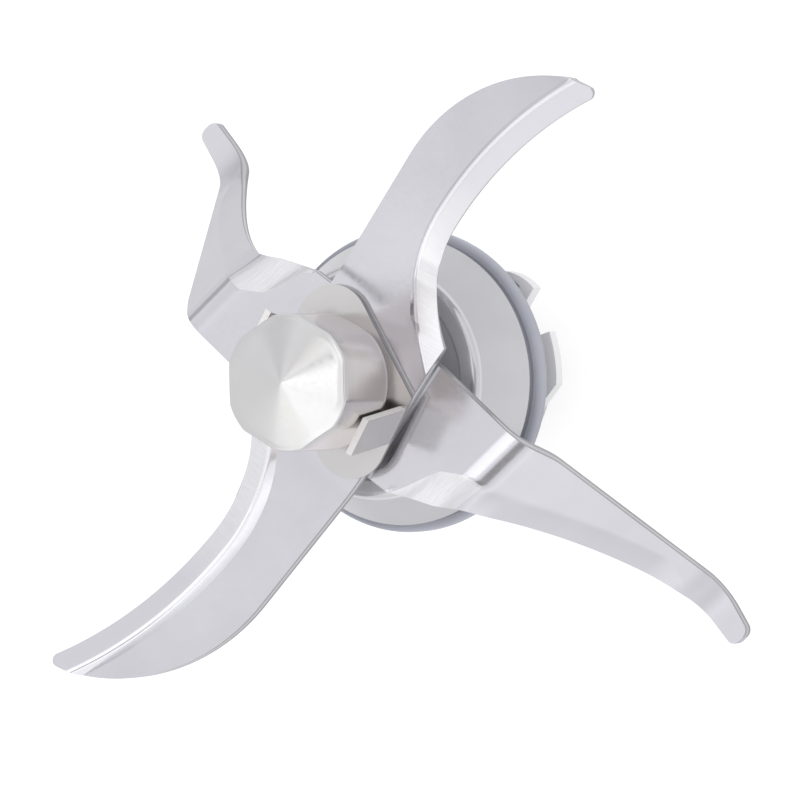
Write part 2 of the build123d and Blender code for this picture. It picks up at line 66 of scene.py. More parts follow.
cloud_scale, moulded_cloud_scale, grain_scale = 60, 90, 1500
cloud_range, noise_range = (0.35, 0.65), (0.3, 0.7)
steel_relief_depth, moulded_relief_depth = 0.02, 0.05
moulded_smoother, moulded_rougher = 0.06, 0.08
ground_lines, ground_line_roughness, ground_end = (4.0, 0.35, 1), 0.65, (24, 40)
wall_lean, wall_top_blend = (0.05, 0.12), 0.02
tab_facing, tab_blend = (0.3, 0.4), 0.1


def new_material(name, color, metallic, roughness):
    """A material with its constant values on the shader, with its tree and shader for more nodes."""
    material = bpy.data.materials.new(name)
    material.use_nodes = True
    tree = material.node_tree
    shader = tree.nodes["Principled BSDF"]
    shader.inputs["Base Color"].default_value = (*color, 1)
    shader.inputs["Metallic"].default_value = metallic
    shader.inputs["Roughness"].default_value = roughness
    return material, tree, shader


def add_node(tree, kind, values=None, links=None, **settings):
    """A node with its socket values and incoming links."""
    made = tree.nodes.new(kind)
    for key, value in settings.items():
        setattr(made, key, value)
    for key, value in (values or {}).items():
        made.inputs[key].default_value = value
    for key, source in (links or {}).items():
        tree.links.new(source, made.inputs[key])
    return made


def object_place(tree):
    """Coordinates on the piece, in metres in the shared frame."""
    return add_node(tree, "ShaderNodeTexCoord").outputs["Object"]


def axis_of(tree, vector, axis):
    """One axis of a vector."""
    return add_node(tree, "ShaderNodeSeparateXYZ", {}, {"Vector": vector}).outputs[axis]


def computed(tree, operation, *sources):
    """A value worked out from one or two others."""
    return add_node(tree, "ShaderNodeMath", {}, dict(enumerate(sources)), operation=operation).outputs[0]


def noise(tree, coordinates, scale, detail=3.0, stretch=(1, 1, 1), roughness=0.5):
    """Noise on coordinates in metres or on a UV map, stretched along its axes."""
    mapped = add_node(tree, "ShaderNodeMapping", {"Scale": stretch}, {"Vector": coordinates})
    made = add_node(
        tree, "ShaderNodeTexNoise",
        {"Scale": scale, "Detail": detail, "Roughness": roughness}, {"Vector": mapped.outputs[0]},
    )
    return made.outputs["Fac"]


def ramp(tree, source, low, high, out_low, out_high):
    """A value carried from one range to another."""
    made = add_node(
        tree, "ShaderNodeMapRange",
        {"From Min": low, "From Max": high, "To Min": out_low, "To Max": out_high}, {"Value": source},
    )
    return made.outputs[0]


def tone_bands(tree, value, stops, tint, unit=1):
    """Tones along a value, from stops of a value in the unit and a shade."""
    low, high = stops[0][0], stops[-1][0]
    share = ramp(tree, value, low * unit, high * unit, 0, 1)
    bands = add_node(tree, "ShaderNodeValToRGB", {}, {"Fac": share})
    while len(bands.color_ramp.elements) < len(stops):
        bands.color_ramp.elements.new(0.5)
    for element, (level, shade) in zip(bands.color_ramp.elements, stops):
        element.position = (level - low) / (high - low)
        element.color = (*(shade * part for part in tint), 1)
    return bands.outputs["Color"]


def blend_colors(tree, factor, first, second):
    """One colour going over to another; each is a colour or a socket."""
    made = add_node(tree, "ShaderNodeMix", {}, {"Factor": factor}, data_type="RGBA")
    ends = [socket for socket in made.inputs if socket.type == "RGBA"]
    for socket, color in zip(ends, (first, second)):
        if isinstance(color, tuple):
            socket.default_value = (*color, 1)
        else:
            tree.links.new(color, socket)
    return [socket for socket in made.outputs if socket.type == "RGBA"][0]


def bump(tree, shader, height, strength, distance):
    """Relief on the shader's normal."""
    made = add_node(
        tree, "ShaderNodeBump", {"Strength": strength, "Distance": distance}, {"Height": height},
    )
    tree.links.new(made.outputs[0], shader.inputs["Normal"])


def steel(name, dark, light, smooth, rough, grain=(1, 1, 1), relief=0.03):
    """Stainless steel with a faint cloudy tone, fine grain along one direction and a soft polish."""
    material, tree, shader = new_material(name, light, 1.0, (smooth + rough) / 2)
    place = object_place(tree)
    clouds = noise(tree, place, cloud_scale, 3)
    tone = blend_colors(tree, ramp(tree, clouds, *cloud_range, 0, 1), dark, light)
    tree.links.new(tone, shader.inputs["Base Color"])
    fine = noise(tree, place, grain_scale, 4, grain)
    tree.links.new(ramp(tree, fine, *noise_range, smooth, rough), shader.inputs["Roughness"])
    bump(tree, shader, fine, relief, steel_relief_depth * mm)
    return material


def ground_steel(name, flat, dark, light, smooth, rough, relief):
    """Steel ground across the edge near the hub: its lines' tone fades out along the edge into the flat's."""
    material, tree, shader = new_material(name, light, 1.0, (smooth + rough) / 2)
    place = add_node(tree, "ShaderNodeUVMap", uv_map="along").outputs[0]
    lines = noise(tree, place, 1.0, 5, ground_lines, ground_line_roughness)
    line_tone = blend_colors(tree, ramp(tree, lines, *noise_range, 0, 1), dark, light)
    fade = ramp(tree, axis_of(tree, place, "X"), *ground_end, 0, 1)
    tree.links.new(blend_colors(tree, fade, line_tone, flat), shader.inputs["Base Color"])
    tree.links.new(ramp(tree, lines, *noise_range, smooth, rough), shader.inputs["Roughness"])
    bump(tree, shader, lines, relief, steel_relief_depth * mm)
    return material


def moulded(name, dark, light, roughness, grain, relief):
    """Rubber or plastic with a slightly uneven tone and a fine moulded grain."""
    material, tree, shader = new_material(name, light, 0.0, roughness)
    place = object_place(tree)
    clouds = noise(tree, place, moulded_cloud_scale, 2)
    tone = blend_colors(tree, ramp(tree, clouds, *noise_range, 0, 1), dark, light)
    tree.links.new(tone, shader.inputs["Base Color"])
    fine = noise(tree, place, grain, 3)
    smooth, rough = roughness - moulded_smoother, roughness + moulded_rougher
    tree.links.new(ramp(tree, fine, *noise_range, smooth, rough), shader.inputs["Roughness"])
    bump(tree, shader, fine, relief, moulded_relief_depth * mm)
    return material


def overlay(material, share, color, roughness=None):
    """Lays another tone over a material's own by a share, and another roughness where one is given."""
    tree = material.node_tree
    shader = tree.nodes["Principled BSDF"]
    own_tone = shader.inputs["Base Color"].links[0].from_socket
    tree.links.new(blend_colors(tree, share, own_tone, color), shader.inputs["Base Color"])
    if roughness is not None:
        own = shader.inputs["Roughness"].links[0].from_socket
        mixed = add_node(tree, "ShaderNodeMix", {"B": roughness}, {"Factor": share, "A": own})
        tree.links.new(mixed.outputs[0], shader.inputs["Roughness"])


def within(material, measure, low, high, color, roughness):
    """Another tone and roughness below a height or inside a radius, going over between two values."""
    tree = material.node_tree
    place = object_place(tree)
    if measure == "height":
        value = axis_of(tree, place, "Z")
    else:
        level = add_node(tree, "ShaderNodeMapping", {"Scale": (1, 1, 0)}, {"Vector": place}).outputs[0]
        value = add_node(tree, "ShaderNodeVectorMath", {}, {0: level}, operation="LENGTH").outputs["Value"]
    overlay(material, ramp(tree, value, low * mm, high * mm, 1, 0), color, roughness)


def sheared_walls_and_shade(material, stops):
    """A sheared edge's bands on a plate's upright walls, with painted shade and highlight, as heights and
    shades up to its top.
    """
    tree = material.node_tree
    height = axis_of(tree, object_place(tree), "Z")
    normal = add_node(tree, "ShaderNodeNewGeometry").outputs["Normal"]
    lean = computed(tree, "ABSOLUTE", axis_of(tree, normal, "Z"))
    wall = ramp(tree, lean, *wall_lean, 1, 0)
    top = stops[-1][0]
    under_top = ramp(tree, height, top * mm, (top + wall_top_blend) * mm, 1, 0)
    bands = tone_bands(tree, height, stops, (1, 0.98, 0.97), mm)
    overlay(material, computed(tree, "MULTIPLY", wall, under_top), bands)


def tab_edges(material, angle, low, color, roughness):
    """Another tone and roughness on the edges of a plate's bent-up tabs, which face neither out nor in."""
    tree = material.node_tree
    coordinates = add_node(tree, "ShaderNodeTexCoord").outputs
    out = (math.cos(math.radians(angle)), math.sin(math.radians(angle)), 0)
    facing = add_node(
        tree, "ShaderNodeVectorMath", {1: out}, {0: coordinates["Normal"]}, operation="DOT_PRODUCT",
    ).outputs["Value"]
    edge = ramp(tree, computed(tree, "ABSOLUTE", facing), *tab_facing, 1, 0)
    height = axis_of(tree, coordinates["Object"], "Z")
    above = ramp(tree, height, low * mm, (low + tab_blend) * mm, 0, 1)
    overlay(material, computed(tree, "MULTIPLY", edge, above), color, roughness)


blade_flat = steel("blade_polished", (0.58, 0.575, 0.60), (0.62, 0.615, 0.64), 0.14, 0.20, relief=0.02)
blade_ground = ground_steel(
    "blade_ground", (0.60, 0.595, 0.62), (0.67, 0.67, 0.675), (0.79, 0.79, 0.795), 0.29, 0.38, 0.20,
)
# Painted highlight: lighter steel for the shoulder of the upper blade's strip
blade_shoulder_highlight = steel("blade_shoulder_highlight", (0.80, 0.80, 0.82), (0.84, 0.84, 0.86), 0.16, 0.24)
# Darker, rougher steel for the blades' wall bands: torn steel, with painted shade of the rounded edges and
# the contact gaps
blade_sheared_and_shaded = steel("blade_sheared_and_shaded", (0.38, 0.375, 0.37), (0.46, 0.455, 0.45), 0.40, 0.55)
plate_metal = steel("lock_plate_steel", (0.56, 0.55, 0.54), (0.62, 0.61, 0.595), 0.20, 0.25, relief=0.006)
nut_metal = steel("nut_polished", (0.57, 0.565, 0.56), (0.61, 0.605, 0.595), 0.14, 0.20, relief=0.02)
housing_metal = steel(
    "housing_polished", (0.54, 0.54, 0.55), (0.60, 0.60, 0.605), 0.12, 0.20, (1, 1, 6), 0.02,
)
turned_metal = steel("turned_steel", (0.54, 0.54, 0.55), (0.62, 0.62, 0.63), 0.30, 0.45, (1, 1, 12), 0.06)
bearing_metal = steel("bearing_steel", (0.58, 0.58, 0.59), (0.64, 0.64, 0.65), 0.08, 0.14, (1, 1, 4), 0.02)
spring_metal = steel("spring_steel", (0.42, 0.43, 0.45), (0.52, 0.53, 0.55), 0.22, 0.36)
gasket_rubber = moulded("gasket_rubber", (0.335, 0.345, 0.39), (0.385, 0.395, 0.445), 0.42, 900, 0.05)
seal_rubber = moulded("seal_rubber", (0.10, 0.10, 0.105), (0.14, 0.14, 0.145), 0.50, 1200, 0.10)
ring_plastic = moulded("ring_plastic", (0.72, 0.72, 0.715), (0.78, 0.78, 0.775), 0.34, 1500, 0.06)
coupling_plastic = moulded(
    "coupling_plastic", (0.020, 0.020, 0.022), (0.035, 0.035, 0.037), 0.45, 1400, 0.12,
)

# The nut's side under its rim, the lower blade's tips and the housing's top inside its shoulder
# Painted reflection: the nut's side under its rim is lighter and brownish, and rougher as well
within(nut_metal, "height", 35.5, 38.2, (0.70, 0.66, 0.645), 0.25)
within(blade_flat, "height", -14.2, -12.4, (0.62, 0.615, 0.64), 0.5)
within(housing_metal, "radius", 16.2, 16.8, (0.66, 0.66, 0.67), 0.62)

# The lock plate's edge, 1 mm high, with painted shade and a painted highlight in its bands, and the edges of
# its tabs
sheared_walls_and_shade(
    plate_metal, ((21.2, 0.05), (21.46, 0.08), (21.54, 0.95), (21.86, 0.95), (21.94, 0.08), (22.2, 0.1)),
)
# Painted highlight: the tabs' edges are lighter, and rougher as well
tab_edges(plate_metal, -31.0, 22.4, (0.82, 0.81, 0.79), 0.62)

finishes = {
    "blade_steel": blade_flat,
    "plate_steel": plate_metal,
    "nut_steel": nut_metal,
    "housing_metal": housing_metal,
    "turned_steel": turned_metal,
    "bearing_steel": bearing_metal,
    "spring_steel": spring_metal,
    "gasket_rubber": gasket_rubber,
    "seal_rubber": seal_rubber,
    "ring_plastic": ring_plastic,
    "coupling_plastic": coupling_plastic,
}

for entry in frame["record"]["subparts"]:
    materials = frame["nodes"][entry["node"]].data.materials
    materials.clear()
    materials.append(finishes[entry["material_slot"]])


# Lines and pieces

def arc(centre, start, end, count=80):
    """Points of an arc about a centre, the shorter way round."""
    first = math.atan2(start[1] - centre[1], start[0] - centre[0])
    last = math.atan2(end[1] - centre[1], end[0] - centre[0])
    sweep = (last - first + math.pi) % (2 * math.pi) - math.pi
    radius = math.hypot(start[0] - centre[0], start[1] - centre[1])
    angles = first + sweep * np.linspace(0, 1, count)
    return np.column_stack((centre[0] + radius * np.cos(angles), centre[1] + radius * np.sin(angles)))


def tangent_centre(start, end, direction):
    """Centre of the arc that leaves start along a direction and reaches end."""
    normal = Vector((-direction[1], direction[0])).normalized()
    chord = Vector(end) - Vector(start)
    return Vector(start) + normal * (chord.length_squared / (2 * chord.dot(normal)))


def circle_centre(a, b, c):
    """Centre of the circle through three points."""
    rows = 2 * np.array([np.subtract(b, a), np.subtract(c, a)])
    sums = np.array([np.dot(b, b) - np.dot(a, a), np.dot(c, c) - np.dot(a, a)])
    return np.linalg.solve(rows, sums)


def rounded(start, corner, end, t):
    """A corner between two values, rounded from start to end as t goes from 0 to 1."""
    return (1 - t) ** 2 * start + 2 * t * (1 - t) * corner + t ** 2 * end


def smooth_step(x, low, high):
    """A soft step from 0 to 1 between two values."""
    t = min(max((x - low) / (high - low), 0.0), 1.0)
    return t * t * (3 - 2 * t)


def height_along(points, x):
    """y of a polyline that runs along x."""
    order = np.argsort(points[:, 0], kind="stable")
    return np.interp(x, points[order, 0], points[order, 1])


def shifted(points, width):
    """The polyline moved to its left, square to its own direction."""
    direction = np.gradient(points, axis=0)
    direction /= np.linalg.norm(direction, axis=1)[:, None]
    return points + np.column_stack((-direction[:, 1], direction[:, 0])) * width


def folded_line(corners, radii, count=14):
    """A line in a plane with rounded corners, as points."""
    points = [np.array([corners[0]])]
    for before, corner, after, radius in zip(corners, corners[1:], corners[2:], radii):
        back = (Vector(before) - Vector(corner)).normalized()
        on = (Vector(after) - Vector(corner)).normalized()
        half = back.angle(on) / 2
        reach = radius / math.tan(half)
        start, end = Vector(corner) + back * reach, Vector(corner) + on * reach
        centre = Vector(corner) + (back + on).normalized() * (radius / math.sin(half))
        points.append(arc(centre, start, end, count))
    points.append(np.array([corners[-1]]))
    return np.vstack(points)


def spaced(marks, counts):
    """Values from mark to mark, with a count for each gap that includes both its marks."""
    runs = [np.linspace(low, high, count) for low, high, count in zip(marks, marks[1:], counts)]
    return np.concatenate([runs[0]] + [run[1:] for run in runs[1:]])


def add_piece(name, form, crease, materials, node):
    """A piece of the rotor in place of a node, smooth but for edges sharper than the crease."""
    for face in form.faces:
        face.smooth = True
    for edge in form.edges:
        if len(edge.link_faces) == 2 and edge.calc_face_angle(0) > crease:
            edge.smooth = False
    mesh = bpy.data.meshes.new(name)
    form.to_mesh(mesh)
    form.free()
    for material in materials:
        mesh.materials.append(material)
    piece = bpy.data.objects.new(name, mesh)
    scene.collection.objects.link(piece)
    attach(piece, "rotor")
    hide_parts(node)


# Blades

blade_thickness = 1.8
edge_left = 0.35
wall_bands = (0, 0.24, 0.68, 1)
wall_gaps = len(wall_bands) - 1
blade_crease = math.radians(16)
blade_finishes = (blade_flat, blade_ground, blade_sheared_and_shaded, blade_shoulder_highlight)
polished, ground, sheared_and_shaded, shoulder_highlight = range(len(blade_finishes))
least_size, least_edge = 1e-6, 1e-7


def build_blade(name, angle, stations, section, finish, node):
    """A blade of two equal wings, as a closed mesh.

    Rows run across the wing at each station: section gives the points of the top and of the underside there,
    from the cutting edge to the back. finish gives the material of a gap of the top at a station. The walls
    have the bands of a sheared edge, rolled over, burnished and torn: the top and foot bands are darker and
    rougher, with painted shade of the rounded edge and of the contact gap.
    """
    form = bmesh.new()
    uv = form.loops.layers.uv.new("along")
    coordinates = {}
    for turn in (0, 180):
        spin = Matrix.Rotation(math.radians(angle + turn), 3, "Z")
        rows = []
        length, last = 0.0, None
        for x in stations:
            top, base = ([Vector(point) for point in points] for points in section(x))
            edge = top[0]
            length += (edge - last).length if last else 0.0
            last = edge
            front, back = (
                [upper.lerp(under, share) for share in wall_bands]
                for upper, under in ((top[0], base[0]), (top[-1], base[-1]))
            )
            outline = front[::-1] + top[1:-1] + back + base[1:-1][::-1]
            verts = [form.verts.new(spin @ point * mm) for point in outline]
            for vert, point in zip(verts, outline):
                coordinates[vert] = (length, point.y - edge.y)
            rows.append((x, verts, len(top)))
        for (x, verts, wide), (_, following, _) in zip(rows, rows[1:]):
            count = len(verts)
            back_start = wide + wall_gaps - 1
            dark_gaps = (0, wall_gaps - 1, back_start, back_start + wall_gaps - 1)
            for i in range(count):
                j = (i + 1) % count
                face = form.faces.new((verts[i], following[i], following[j], verts[j]))
                if i in dark_gaps:
                    face.material_index = sheared_and_shaded
                elif wall_gaps <= i < back_start:
                    face.material_index = finish(i - wall_gaps, x)
        form.faces.new(list(reversed(rows[-1][1])))
    for face in form.faces:
        for corner in face.loops:
            corner[uv].uv = coordinates[corner.vert]
    bmesh.ops.remove_doubles(form, verts=form.verts, dist=least_size)
    bmesh.ops.dissolve_degenerate(form, edges=form.edges, dist=least_edge)
    add_piece(name, form, blade_crease, blade_finishes, node)


# Upper blade: wings bent up a little, with a raised strip along the hollow cutting edge
upper_angle = 55.0
upper_top = 21.2
upper_fold, upper_rise = 13.6, math.radians(8.8)
upper_fold_back, upper_fold_strip = 1.2, 6.0
upper_root, upper_straight = (10.0, 9.9), (34.2, 7.7)
upper_tip_back, upper_tip_front, upper_tip_corner = (58.6, -10.2), (58.6, -15.2), (59.4, -14.0)
upper_tip_start, upper_tip_r, upper_tip_points = 57.0, 1.0, 7
upper_middle, upper_hollow, upper_corner = (44.0, -7.7), (29.7, -4.5), (12.8, -10.8)
upper_hub = 6.0
upper_flat_gaps, upper_least_flat = 12, 0.1
upper_rows, upper_tip_rows = (6, 12, 126), 16
box_gap = 0.02

outer_centre = circle_centre(upper_tip_front, upper_middle, upper_hollow)
leaving = Vector((upper_hollow[1] - outer_centre[1], outer_centre[0] - upper_hollow[0]))
upper_cut = np.vstack((
    arc(tangent_centre(upper_hollow, upper_corner, leaving), upper_corner, upper_hollow),
    arc(outer_centre, upper_hollow, upper_tip_front)[1:],
))
tip_turn = folded_line(
    (upper_cut[-upper_tip_points], upper_tip_front, upper_tip_corner, upper_tip_back),
    (upper_tip_r, upper_tip_r),
)
tip_end = int(np.argmax(tip_turn[:, 0]))
upper_leading = np.vstack((
    [(-upper_root[0], -upper_root[1])], upper_cut[:-upper_tip_points], tip_turn[:tip_end + 1],
))
upper_back_run = np.subtract(upper_straight, upper_root)
upper_trailing = np.vstack((
    [(-upper_corner[0], -upper_corner[1]), upper_root],
    arc(tangent_centre(upper_straight, upper_tip_back, upper_back_run), upper_straight, upper_tip_back),
    tip_turn[tip_end:-1][::-1],
))

# The strip's section: place in from the edge, height of the top and of the underside over the flat's faces
strip_width, strip_shoulder, strip_rise, strip_edge_rise = 3.5, 1.0, 1.7, 1.2
strip_bend, strip_slope = strip_width - 0.5, strip_width + 0.3
strip_gaps = 4
strip_round = np.linspace(0, 1, 7)
strip_edge_fall, strip_fall_run = 0.9, (13.0, 33.0)
strip_start, strip_past_tip = 9.0, 12
strip_run_out = ((6.0, 0.0), (12.8, 0.1), (16.2, 0.45), (19.6, 0.8), (22.9, 1.0))
strip_highlight_from = 0.2

bend_high = strip_edge_rise + (strip_rise - strip_edge_rise) * strip_bend / strip_width
slope_high = strip_rise * (1 - (strip_slope - strip_width) / strip_shoulder)
strip_in = np.concatenate((
    np.linspace(0, strip_bend, strip_gaps + 1)[:-1],
    rounded(strip_bend, strip_width, strip_slope, strip_round),
    [strip_width + strip_shoulder],
))
strip_over = np.concatenate((
    np.linspace(strip_edge_rise, bend_high, strip_gaps + 1)[:-1],
    rounded(bend_high, strip_rise, slope_high, strip_round),
    [0],
))
strip_below = np.interp(
    strip_in, (0, strip_width, strip_width + strip_shoulder),
    (strip_edge_rise + blade_thickness - edge_left, strip_rise, 0),
)
strip_fall = strip_edge_fall * np.clip(1 - strip_in / strip_width, 0, 1)
run_on = Vector(upper_corner) + (Vector(upper_corner) - Vector(upper_cut[1])).normalized() * strip_start
upper_edge_line = np.vstack(([run_on], upper_cut, [2 * upper_cut[-1] - upper_cut[-strip_past_tip]]))
strip_lines = [shifted(upper_edge_line, reach) for reach in strip_in]


def upper_level(x, back):
    """Height of the flat: the bend is soft beside the strip and tighter at the back of the wing."""
    half = upper_fold_back + upper_fold_strip * (1 - back) ** 2
    past = np.clip(x - upper_fold + half, 0, 2 * half)
    beyond = np.maximum(x - upper_fold - half, 0)
    return upper_top + math.tan(upper_rise) * (past ** 2 / (4 * half) + beyond)


def upper_share(x):
    """How much of the strip's height is left: it runs out towards the hub."""
    return float(np.interp(x, *zip(*strip_run_out)))


def upper_section(x):
    """Points of the upper blade's top and underside across the wing at x."""
    low, high = height_along(upper_leading, x), height_along(upper_trailing, x) - box_gap
    places = np.array([height_along(line, x) for line in strip_lines])
    valley = min(max(places[-1], low), high)
    flat = np.linspace(valley, high, upper_flat_gaps + 1)[1:]
    across = np.concatenate((np.clip(places, low, high), flat))
    share = upper_share(x)
    level = upper_level(x, np.clip((across - valley) / max(high - valley, upper_least_flat), 0, 1))
    fall = strip_fall * (1 - smooth_step(x, *strip_fall_run))
    over = np.interp(across, places, strip_over * share - fall, right=0)
    below = np.interp(across, places, strip_below * share, right=0)
    under = level - blade_thickness / math.cos(upper_rise)
    row = [x] * len(across)
    return list(zip(row, across, level + over)), list(zip(row, across, under + below))


def upper_finish(gap, x):
    """The strip is ground, its shoulder lighter with a painted highlight and the rest polished."""
    if gap < strip_gaps:
        return ground
    return shoulder_highlight if gap < len(strip_in) - 1 and upper_share(x) > strip_highlight_from else polished


upper_end = tip_turn[tip_end, 0] - box_gap
upper_stations = np.concatenate((
    spaced((0, upper_hub, upper_corner[0], upper_tip_start), upper_rows),
    upper_tip_start + (upper_end - upper_tip_start) * np.sin(np.linspace(0, math.pi / 2, upper_tip_rows))[1:],
))
build_blade("upper_blade_ground", upper_angle, upper_stations, upper_section, upper_finish, "upper_blade")

# Lower blade: narrow wings folded steeply down, level again at their tips
lower_angle = -50.2
lower_top = 19.4
lower_fold, lower_fold_r, lower_drop = 24.8, 6.0, math.radians(54.8)
lower_tip_fold, lower_tip_fold_r = 51.0, 6.0
lower_root, lower_shoulder, lower_shoulder_r = (7.9, 12.4), (29.0, 15.4), 6.0
lower_tip = 58.6
lower_tip_back, lower_tip_front, lower_tip_r = (58.6, 10.2), (58.6, 6.8), 1.2
lower_bend, lower_edge_fold, lower_edge_root = (50.0, 7.0), (25.5, -0.2), (16.0, -6.2)
lower_line_start, lower_line_past_tip = -1, 4
lower_flat_gaps = 14

# The bevel starts beside the hub, is widest before the fold and shallower past it, and ends before the tip
bevel_width, bevel_hollow, bevel_gaps = 4.2, 0.2, 8
bevel_start = lower_edge_root[0] - 0.5
bevel_run_in, bevel_run_out = 4, (44.0, lower_tip_fold - 0.6)
bevel_widths = ((15.5, 0.2), (17.0, 0.75), (19.5, 1.3), (22.5, 1.45), (26.0, 1.15), (30.0, 1.0))
bevel_least_width, bevel_least_gap = 0.12, 0.02
bevel_loss, bevel_loss_run = 0.45, 4
bevel_ground = (bevel_start + 0.6, lower_fold + 0.4)

lower_back = folded_line((lower_root, lower_shoulder, lower_tip_back), (lower_shoulder_r,))
lower_edge_run = np.subtract(lower_bend, lower_tip_front)
lower_cut = np.vstack((
    [lower_edge_root],
    arc(tangent_centre(lower_bend, lower_edge_fold, lower_edge_run), lower_edge_fold, lower_bend),
))
lower_leading = np.vstack(([(-lower_root[0], -lower_root[1])], lower_cut, [lower_tip_front]))
lower_trailing = np.vstack(([(-lower_edge_root[0], -lower_edge_root[1])], lower_back))
lower_ridge = shifted(lower_cut, bevel_width)

lower_tip_level = lower_top - (lower_tip_fold - lower_fold) * math.tan(lower_drop)
lower_line = folded_line(
    (
        (lower_line_start, lower_top), (lower_fold, lower_top),
        (lower_tip_fold, lower_tip_level), (lower_tip + lower_line_past_tip, lower_tip_level),
    ),
    (lower_fold_r, lower_tip_fold_r),
)
lower_slope = np.gradient(lower_line[:, 1], lower_line[:, 0])


def tip_round(x):
    """How far a round corner at the tip stands in from the tip's straight sides."""
    past = x - (lower_tip - lower_tip_r)
    return lower_tip_r - math.sqrt(max(lower_tip_r ** 2 - max(past, 0) ** 2, 0))


def lower_section(x):
    """Points of the lower blade's top and underside across the wing at x."""
    low = height_along(lower_leading, x) + tip_round(x)
    high = height_along(lower_trailing, x) - tip_round(x)
    share = smooth_step(x, bevel_start, bevel_start + bevel_run_in) * (1 - smooth_step(x, *bevel_run_out))
    inner = low + (high - low) * bevel_gaps / (bevel_gaps + lower_flat_gaps)
    if x > bevel_start:
        wide = float(np.interp(x, *zip(*bevel_widths)))
        inner = low + (height_along(lower_ridge, x) - low) * max(share * wide, bevel_least_width)
    inner = min(max(inner, low + bevel_least_gap), high - bevel_least_gap)
    t = np.linspace(0, 1, bevel_gaps + 1)
    across = np.concatenate((low + (inner - low) * t, np.linspace(inner, high, lower_flat_gaps + 1)[1:]))
    depth = np.zeros(len(across))
    depth[:len(t)] = (blade_thickness - edge_left) * share * ((1 - t) + bevel_hollow * t * (1 - t))
    depth *= 1 - bevel_loss * smooth_step(x, lower_fold, lower_fold + bevel_loss_run)
    level = np.interp(x, lower_line[:, 0], lower_line[:, 1])
    normal = Vector((-np.interp(x, lower_line[:, 0], lower_slope), 0, 1)).normalized()
    top = [Vector((x, y, level)) - normal * down for y, down in zip(across, depth)]
    return top, [Vector((x, y, level)) - normal * blade_thickness for y in across]


def lower_finish(gap, x):
    """The bevel is ground between the hub and the fold, and the rest is polished."""
    return ground if gap < bevel_gaps and bevel_ground[0] < x < bevel_ground[1] else polished


lower_marks = (0, bevel_start, 21.0, 27.0, 49.0, 53.0, lower_tip - lower_tip_r, lower_tip)
lower_rows = (8, 24, 30, 60, 24, 6, 8)
lower_stations = spaced(lower_marks, lower_rows)
build_blade("lower_blade_ground", lower_angle, lower_stations, lower_section, lower_finish, "lower_blade")


# Cap nut: turned, with six narrow flats and a low cone on top

nut_r, nut_flat, nut_base, nut_height, nut_cone = 9.95, 9.5, 22.2, 16.5, 1.9
nut_foot_r, nut_foot_chamfer, nut_rim = 7.6, 4.2, 0.3
nut_top = nut_base + nut_height
nut_steps, nut_rim_steps, nut_side_steps = 240, 6, 12
nut_cone_shares, nut_foot_shares = (0.03, 0.08, 0.2, 0.4, 0.6, 0.8, 0.9, 0.96), (0.5, 1.0)
nut_crease = math.radians(25)


def flat_radius(angle):
    """The nut's radius at an angle: round, cut back by six flats."""
    off = (math.degrees(angle) + 30) % 60 - 30
    return min(nut_r, nut_flat / math.cos(math.radians(off)))


def nut_profile(whole):
    """Radius and height down the nut from near its point to its foot, where its side is at a radius."""
    points = []
    for share in nut_cone_shares:
        reach = (whole - nut_rim) * share
        points.append((reach, nut_top + nut_cone * (1 - reach / nut_r)))
    rim_top = nut_top + nut_cone * (1 - whole / nut_r)
    for k in range(nut_rim_steps + 1):
        turn = math.pi / 2 * k / nut_rim_steps
        points.append((whole - nut_rim * (1 - math.sin(turn)), rim_top - nut_rim * (1 - math.cos(turn))))
    side_top = rim_top - nut_rim
    side_base = nut_base + nut_foot_chamfer * (whole - nut_foot_r) / (nut_r - nut_foot_r)
    for k in range(1, nut_side_steps + 1):
        points.append((whole, side_top + (side_base - side_top) * k / nut_side_steps))
    for share in nut_foot_shares:
        points.append((whole + (nut_foot_r - whole) * share, side_base + (nut_base - side_base) * share))
    return points


def build_nut():
    """The nut as a closed mesh of rings under its point."""
    form = bmesh.new()
    angles = [2 * math.pi * i / nut_steps for i in range(nut_steps)]
    rings = [
        [
            form.verts.new(Vector((reach * math.cos(angle), reach * math.sin(angle), level)) * mm)
            for angle, (reach, level) in zip(angles, points)
        ]
        for points in zip(*(nut_profile(flat_radius(angle)) for angle in angles))
    ]
    point = form.verts.new(Vector((0, 0, nut_top + nut_cone)) * mm)
    for i in range(nut_steps):
        j = (i + 1) % nut_steps
        form.faces.new((point, rings[0][i], rings[0][j]))
        for upper, under in zip(rings, rings[1:]):
            form.faces.new((upper[i], under[i], under[j], upper[j]))
    form.faces.new(list(reversed(rings[-1])))
    add_piece("cap_nut_polished", form, nut_crease, (nut_metal,), "cap_nut")


build_nut()


# Studio: a pale floor with light of its own, two soft lights overhead, cards for the steel, a pale room

floor_half, card_half = 3.0, 0.5


def glowing_sheet(name, size, color, roughness, tone, strength):
    """A level square sheet, size from its middle to each side, with light of its own and no shine."""
    mesh = bpy.data.meshes.new(name)
    form = bmesh.new()
    bmesh.ops.create_grid(form, x_segments=1, y_segments=1, size=size)
    form.to_mesh(mesh)
    form.free()
    material, _, shader = new_material(name, color, 0.0, roughness)
    shader.inputs["Specular IOR Level"].default_value = 0.0
    shader.inputs["Emission Color"].default_value = (*tone, 1)
    shader.inputs["Emission Strength"].default_value = strength
    mesh.materials.append(material)
    made = bpy.data.objects.new(name, mesh)
    scene.collection.objects.link(made)
    return made


def softbox(name, place, turn, size, radiance):
    """A rectangular soft light that hangs level and shines down."""
    light = bpy.data.lights.new(name, "AREA")
    light.shape = "RECTANGLE"
    light.size, light.size_y = size
    light.energy = radiance * size[0] * size[1] * math.pi
    made = bpy.data.objects.new(name, light)
    made.location = place
    made.rotation_euler = (0, 0, math.radians(turn))
    scene.collection.objects.link(made)


